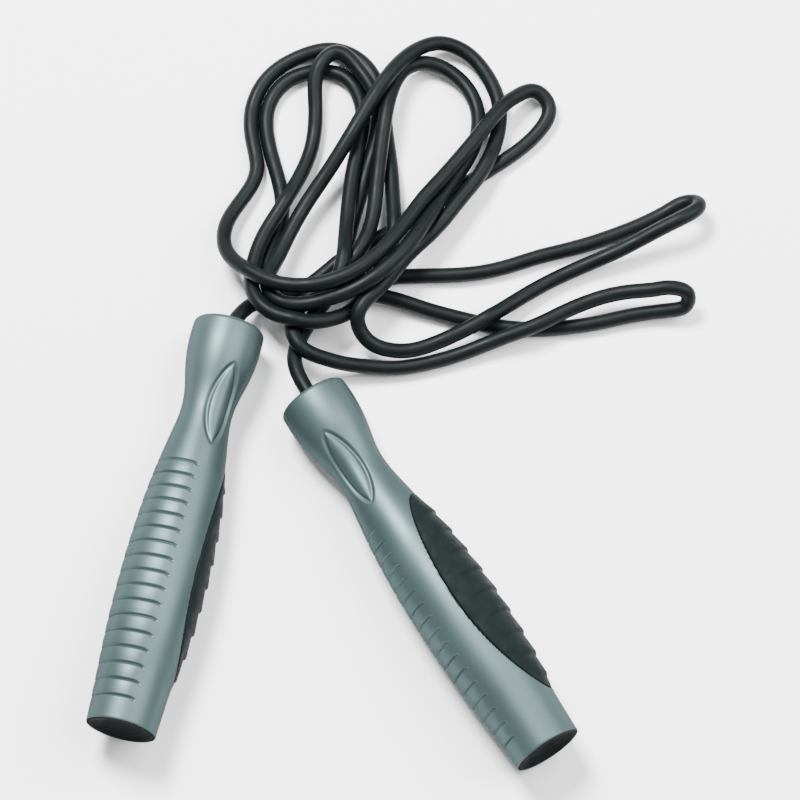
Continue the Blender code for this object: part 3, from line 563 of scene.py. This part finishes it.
def paint_material():
    """Satin silver-grey metallic paint: fine flakes, faint orange peel and soft rubbed patches."""
    made, shader = new_material("satin_metallic_paint", (0.056, 0.084, 0.085), 0.46, 0.70)
    shader.inputs["Specular Tint"].default_value = (0.14, 0.17, 0.17, 1.0)
    shader.inputs["Specular IOR Level"].default_value = 0.25
    tree = made.node_tree
    mottle(made, noise(tree, 34.0, 3.0), (0.053, 0.079, 0.080), (0.060, 0.090, 0.091))
    vary(tree, noise(tree, 60.0, 4.0), 0.43, 0.50, shader.inputs["Roughness"])
    peel = raise_grain(tree, shader, noise(tree, 900.0, 2.0), 0.10, 0.00006)
    raise_grain(tree, shader, noise(tree, 6500.0, 1.0), 0.10, 0.00003, peel)
    return made


def pad_material():
    """Dull black rubber with a stippled mould texture and a little dust."""
    made, shader = new_material("pad_rubber", (0.0030, 0.0058, 0.0060), 0.74, 0.0)
    shader.inputs["Specular IOR Level"].default_value = 0.07
    tree = made.node_tree
    mottle(made, noise(tree, 160.0, 5.0), (0.0026, 0.0050, 0.0052), (0.0036, 0.0068, 0.0070))
    vary(tree, noise(tree, 240.0, 3.0), 0.60, 0.76, shader.inputs["Roughness"])
    stipple = raise_grain(tree, shader, noise(tree, 2600.0, 2.0), 0.45, 0.00010)
    raise_grain(tree, shader, noise(tree, 420.0, 2.0), 0.15, 0.00012, stipple)
    return made


def cap_material():
    made, shader = new_material("cap_plastic", (0.0020, 0.0032, 0.0035), 0.70, 0.0)
    shader.inputs["Specular IOR Level"].default_value = 0.03
    tree = made.node_tree
    mottle(made, noise(tree, 120.0, 4.0), (0.0025, 0.0035, 0.0038), (0.0040, 0.0056, 0.0060))
    vary(tree, noise(tree, 180.0, 3.0), 0.64, 0.76, shader.inputs["Roughness"])
    raise_grain(tree, shader, noise(tree, 3000.0, 2.0), 0.25, 0.00005)
    return made


def rope_material():
    """Black rubber with a soft sheen, scuffs and the faint waviness of an extruded rope."""
    made, shader = new_material("rope_rubber", (0.0022, 0.0036, 0.0038), 0.50, 0.0)
    shader.inputs["Specular IOR Level"].default_value = 0.09
    tree = made.node_tree
    mottle(made, noise(tree, 90.0, 5.0), (0.0018, 0.0029, 0.0031), (0.0028, 0.0046, 0.0048))
    vary(tree, noise(tree, 140.0, 4.0), 0.40, 0.54, shader.inputs["Roughness"])
    waves = raise_grain(tree, shader, noise(tree, 260.0, 2.0), 0.12, 0.00015)
    raise_grain(tree, shader, noise(tree, 3600.0, 2.0), 0.20, 0.00004, waves)
    return made


def metal_material(name, colour, roughness):
    """Turned or drawn metal with fine scratches."""
    made, shader = new_material(name, colour, roughness, 1.0)
    tree = made.node_tree
    scratches = noise(tree, 1500.0, 3.0, (1.0, 1.0, 0.08))
    vary(tree, scratches, 0.8 * roughness, 1.3 * roughness, shader.inputs["Roughness"])
    raise_grain(tree, shader, scratches, 0.10, 0.00002)
    return made


def nylon_material():
    made, shader = new_material("natural_nylon", (0.70, 0.70, 0.66), 0.5, 0.0)
    tree = made.node_tree
    mottle(made, noise(tree, 300.0, 3.0), (0.66, 0.66, 0.61), (0.72, 0.72, 0.69))
    raise_grain(tree, shader, noise(tree, 2500.0, 2.0), 0.15, 0.00004)
    return made


# ---- the hidden pieces keep their CAD shape -------------------------------------------------------------
def finish_hidden_pieces():
    steel = metal_material("bearing_steel_look", (0.56, 0.57, 0.58), 0.16)
    finishes = {
        "retaining_ring": metal_material("spring_steel_look", (0.30, 0.30, 0.31), 0.33),
        "bearing_outer_ring": steel,
        "bearing_inner_ring": steel,
        "bearing_ball": steel,
        "swivel_sleeve": metal_material("brass_look", (0.60, 0.46, 0.20), 0.28),
        "thrust_washer": nylon_material(),
        "rope_stopper": metal_material("crimped_steel_look", (0.45, 0.46, 0.47), 0.34),
    }
    finishes["ball_cage"] = finishes["swivel_sleeve"]
    for name, node in frame["nodes"].items():
        for part, material in finishes.items():
            if name.split("_", 1)[-1].startswith(part):
                node.data.materials.clear()
                node.data.materials.append(material)


# ---- the studio -----------------------------------------------------------------------------------------
def make_floor():
    mesh = bpy.data.meshes.new("studio_floor")
    corners = [(-6.0, -6.0, 0.0), (6.0, -6.0, 0.0), (6.0, 6.0, 0.0), (-6.0, 6.0, 0.0)]
    mesh.from_pydata(corners, [], [(0, 1, 2, 3)])
    floor = bpy.data.objects.new("studio_floor", mesh)
    bpy.context.collection.objects.link(floor)
    made, shader = new_material("studio_paper", (0.93, 0.93, 0.93), 0.9, 0.0)
    shader.inputs["Specular IOR Level"].default_value = 0.1
    mesh.materials.append(made)
    floor.location.z = CAD_BOX[0].z - 0.0002


def softbox(name, direction, distance, width, depth, power):
    """An area light that faces the middle of the heap."""
    light = bpy.data.lights.new(name, "AREA")
    light.shape = "RECTANGLE"
    light.size = width
    light.size_y = depth
    light.energy = power
    lamp = bpy.data.objects.new(name, light)
    bpy.context.collection.objects.link(lamp)
    lamp.location = CAMERA_AIM + Vector(direction).normalized() * distance
    lamp.rotation_euler = (CAMERA_AIM - lamp.location).to_track_quat("-Z", "Y").to_euler()


def make_studio():
    """A small key light from behind left, a broad one from the right, and a pale room all round."""
    make_floor()
    softbox("key_softbox", (-0.32, 0.45, 1.0), 1.6, 0.5, 0.5, KEY_POWER)
    softbox("right_softbox", (0.75, 0.15, 1.0), 1.6, 1.3, 1.3, FILL_POWER)
    world = bpy.data.worlds.new("studio_world")
    world.use_nodes = True
    background = world.node_tree.nodes["Background"]
    background.inputs["Color"].default_value = (1.0, 1.0, 1.0, 1.0)
    background.inputs["Strength"].default_value = WORLD_STRENGTH
    bpy.context.scene.world = world


def make_camera():
    camera = bpy.data.objects.new("camera", bpy.data.cameras.new("camera"))
    bpy.context.collection.objects.link(camera)
    camera.data.sensor_width = 36.0
    camera.data.lens = CAMERA_LENS
    tilt = math.radians(CAMERA_ELEVATION)
    camera.location = CAMERA_AIM + CAMERA_DISTANCE * Vector((0.0, -math.cos(tilt), math.sin(tilt)))
    camera.rotation_euler = (math.radians(90.0 - CAMERA_ELEVATION), 0.0, 0.0)
    bpy.context.scene.camera = camera


def make_handles():
    paint, rubber, plastic = paint_material(), pad_material(), cap_material()
    meshes = shell_mesh(), pad_mesh(), cap_mesh()
    for side in SIDES:
        shell, pad, cap = (mesh.copy() for mesh in meshes)
        place_piece(side + "_shell_look", shell, side, paint, "shell", side + "_handle_shell")
        place_piece(side + "_pad_look", pad, side, rubber, "pad", side + "_grip_pad")
        place_piece(side + "_cap_look", cap, side, plastic, "cap", side + "_end_cap")


make_camera()
make_rope(rope_material())
make_handles()
finish_hidden_pieces()
make_studio()
